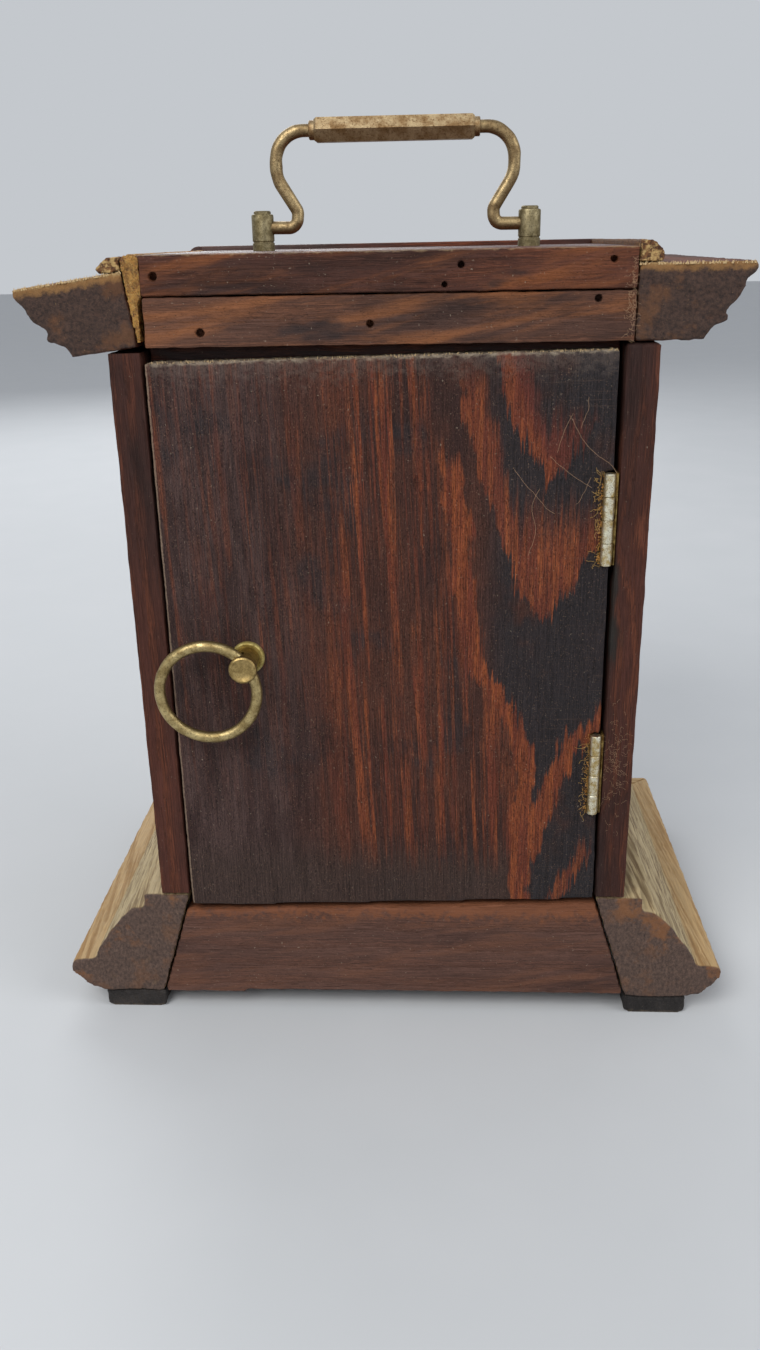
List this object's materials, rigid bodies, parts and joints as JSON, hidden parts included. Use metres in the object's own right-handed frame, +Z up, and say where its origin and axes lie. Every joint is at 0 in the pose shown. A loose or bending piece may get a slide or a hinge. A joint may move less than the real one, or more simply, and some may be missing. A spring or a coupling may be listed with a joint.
{
  "type": "bracket clock",
  "caption": "Small wooden bracket clock with moulded base and cornice, hinged glazed front and wooden back doors, ring pull, brass carrying handle and a spring-driven pendulum movement.",
  "frame": {"origin": "centre of the outer box, on the surface the clock stands on", "axes": "+Z up, the dial faces -Y, the back door faces +Y, +X is to the right as the dial is seen"},
  "size_m": [0.217, 0.1533, 0.2778],
  "materials": {
    "dark_wood": "worn dark stain",
    "plain_wood": "bare softwood",
    "base_wood": "bleached oak, dark stained ends",
    "foot_wood": "dark stain",
    "old_glue": "crumbly old hide glue",
    "aged_brass": "dull, tarnished",
    "hinge_brass": "pale brass",
    "hinge_steel": "plain",
    "window_glass": "clear",
    "dial_silver": "silvered",
    "blued_steel": "blued",
    "movement_brass": "lacquered",
    "movement_steel": "polished"
  },
  "bodies": {
    "clock_case": {"side_board_left": "dark_wood", "side_board_right": "dark_wood", "case_top_board": "plain_wood", "case_floor_board": "plain_wood", "frieze_boards": "dark_wood", "back_rail_lower": "dark_wood", "back_rail_upper": "dark_wood", "top_panel": "dark_wood", "cornice_left": "dark_wood", "cornice_right": "dark_wood", "cornice_front": "dark_wood", "top_bead_left": "dark_wood", "top_bead_right": "dark_wood", "top_bead_front": "dark_wood", "base_moulding_left": "base_wood", "base_moulding_right": "base_wood", "base_moulding_front": "base_wood", "base_back_board": "dark_wood", "feet": "foot_wood", "dial_panel": "plain_wood", "seat_board": "plain_wood", "glue_wedge": "old_glue", "handle_posts": "aged_brass", "handle_post_nuts": "hinge_brass", "back_hinge_case_leaves": "hinge_brass", "back_hinge_pins": "hinge_steel", "front_door_pins": "hinge_brass", "dial_plate": "dial_silver", "movement_front_plate": "movement_brass", "movement_back_plate": "movement_brass", "plate_pillars": "movement_brass", "pendulum_cock": "movement_brass"},
    "back_door": {"back_door_panel": "dark_wood", "back_hinge_door_leaves": "hinge_brass", "ring_pull_rosette": "aged_brass", "ring_pull_knob": "aged_brass"},
    "ring_pull": {"pull_ring": "aged_brass"},
    "carrying_handle": {"handle_bail": "aged_brass", "handle_grip": "aged_brass"},
    "front_door": {"front_door_stiles": "dark_wood", "front_door_rails": "dark_wood", "front_glass": "window_glass", "glass_beads": "dark_wood", "front_door_knob": "aged_brass"},
    "center_train": {"center_arbor": "movement_brass", "cannon_pinion": "movement_brass", "minute_hand": "blued_steel", "hand_nut": "movement_brass"},
    "minute_train": {"minute_wheel": "movement_brass"},
    "hour_train": {"hour_wheel": "movement_brass", "hour_hand": "blued_steel"},
    "barrel": {"mainspring_barrel": "movement_brass", "mainspring": "blued_steel"},
    "winding": {"winding_arbor": "movement_steel"},
    "click": {"ratchet_click": "movement_steel"},
    "third": {"third_arbor": "movement_brass"},
    "fourth": {"fourth_arbor": "movement_brass"},
    "escape": {"escape_arbor": "movement_brass"},
    "pallets": {"pallet_arbor": "movement_steel"},
    "pendulum_body": {"pendulum": "movement_brass"}
  },
  "joints": [
    {"name": "back_door_hinge", "type": "hinge", "parent": "clock_case", "child": "back_door", "pos_m": [-0.063, 0.0656, 0.13], "axis": [0, 0, 1], "range_deg": [0, 170]},
    {"name": "ring_swing", "type": "hinge", "parent": "back_door", "child": "ring_pull", "pos_m": [0.0414, 0.0714, 0.1274], "axis": [0.6074, 0, 0.7944], "range_deg": [-8, 175]},
    {"name": "handle_swing", "type": "hinge", "parent": "clock_case", "child": "carrying_handle", "pos_m": [-0.0025, 0.011, 0.2472], "axis": [1, 0, 0], "range_deg": [-92, 92]},
    {"name": "front_door_hinge", "type": "hinge", "parent": "clock_case", "child": "front_door", "pos_m": [-0.072, -0.0365, 0.13], "axis": [0, 0, -1], "range_deg": [0, 97]},
    {"name": "center_turn", "type": "hinge", "parent": "clock_case", "child": "center_train", "pos_m": [0, 0, 0.128], "axis": [0, 1, 0], "continuous": true},
    {"name": "minute_wheel_turn", "type": "hinge", "parent": "clock_case", "child": "minute_train", "pos_m": [0.01052, -0.018, 0.13852], "axis": [0, 1, 0], "continuous": true},
    {"name": "hour_turn", "type": "hinge", "parent": "clock_case", "child": "hour_train", "pos_m": [0, -0.02, 0.128], "axis": [0, 1, 0], "continuous": true},
    {"name": "barrel_turn", "type": "hinge", "parent": "clock_case", "child": "barrel", "pos_m": [0, 0, 0.1], "axis": [0, 1, 0], "continuous": true},
    {"name": "winding_turn", "type": "hinge", "parent": "clock_case", "child": "winding", "pos_m": [0, 0, 0.1], "axis": [0, 1, 0], "continuous": true},
    {"name": "click_lift", "type": "hinge", "parent": "clock_case", "child": "click", "pos_m": [0.013, -0.016, 0.1065], "axis": [0, 1, 0], "range_deg": [0, 12]},
    {"name": "third_turn", "type": "hinge", "parent": "clock_case", "child": "third", "pos_m": [-0.01165, 0, 0.14288], "axis": [0, 1, 0], "continuous": true},
    {"name": "fourth_turn", "type": "hinge", "parent": "clock_case", "child": "fourth", "pos_m": [0, 0, 0.15], "axis": [0, 1, 0], "continuous": true},
    {"name": "escape_turn", "type": "hinge", "parent": "clock_case", "child": "escape", "pos_m": [0, 0, 0.162], "axis": [0, 1, 0], "continuous": true},
    {"name": "pendulum_swing", "type": "hinge", "parent": "clock_case", "child": "pendulum_body", "pos_m": [0, 0.025, 0.176], "axis": [0, 1, 0], "range_deg": [-4, 4]},
    {"name": "pallet_swing", "type": "hinge", "parent": "clock_case", "child": "pallets", "pos_m": [0, 0, 0.176], "axis": [0, 1, 0], "range_deg": [-4, 4]}
  ],
  "couplings": [
    {"joint": "minute_wheel_turn", "follows": "center_turn", "ratio": -0.33333},
    {"joint": "hour_turn", "follows": "center_turn", "ratio": 0.083333},
    {"joint": "barrel_turn", "follows": "center_turn", "ratio": -0.16667},
    {"joint": "third_turn", "follows": "center_turn", "ratio": -8},
    {"joint": "fourth_turn", "follows": "center_turn", "ratio": 48},
    {"joint": "escape_turn", "follows": "center_turn", "ratio": -192},
    {"joint": "pallet_swing", "follows": "pendulum_swing", "ratio": 1}
  ]
}
